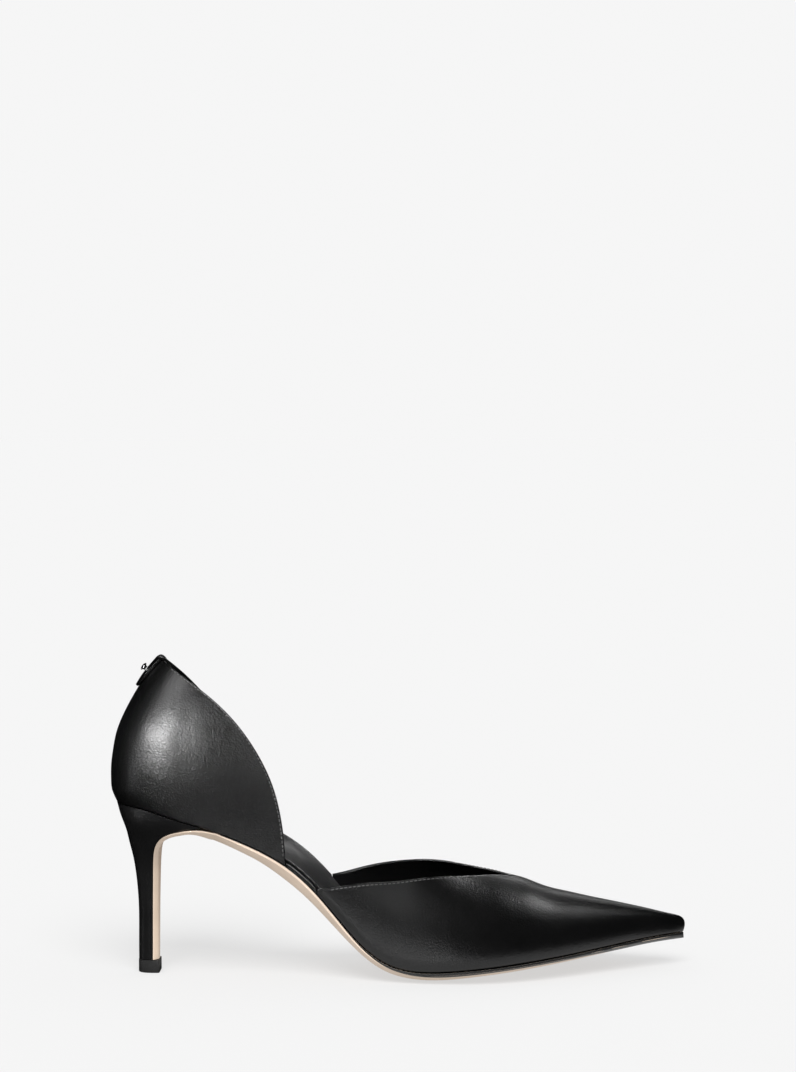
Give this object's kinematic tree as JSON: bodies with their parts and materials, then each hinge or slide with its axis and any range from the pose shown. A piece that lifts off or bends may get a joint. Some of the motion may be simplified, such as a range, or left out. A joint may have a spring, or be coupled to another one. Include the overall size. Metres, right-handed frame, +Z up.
{
  "type": "d'orsay pump",
  "caption": "Right d'Orsay pump in smooth black calf, with a pointed closed toe, cut-out sides, a tall closed back and a slim high heel.",
  "frame": {"origin": "centre of the top lift's underside, on the floor that the shoe stands on", "axes": "+X from the heel to the toe, +Y to the inner side of the foot, +Z up"},
  "size_m": [0.2535, 0.0767, 0.1393],
  "materials": {
    "black_calf": "smooth, satin gloss, fine grain",
    "black_lining": "smooth, soft sheen",
    "tan_sole": "smooth, waxed",
    "lift_rubber": "matte",
    "polished_metal": "polished"
  },
  "bodies": {
    "root": {"outsole": "tan_sole", "insole_board": "black_calf", "vamp": "black_calf", "quarter": "black_calf", "heel": "black_calf", "top_lift": "lift_rubber", "sock": "black_lining", "back_tab": "black_calf", "tab_stud": "polished_metal"}
  },
  "joints": []
}
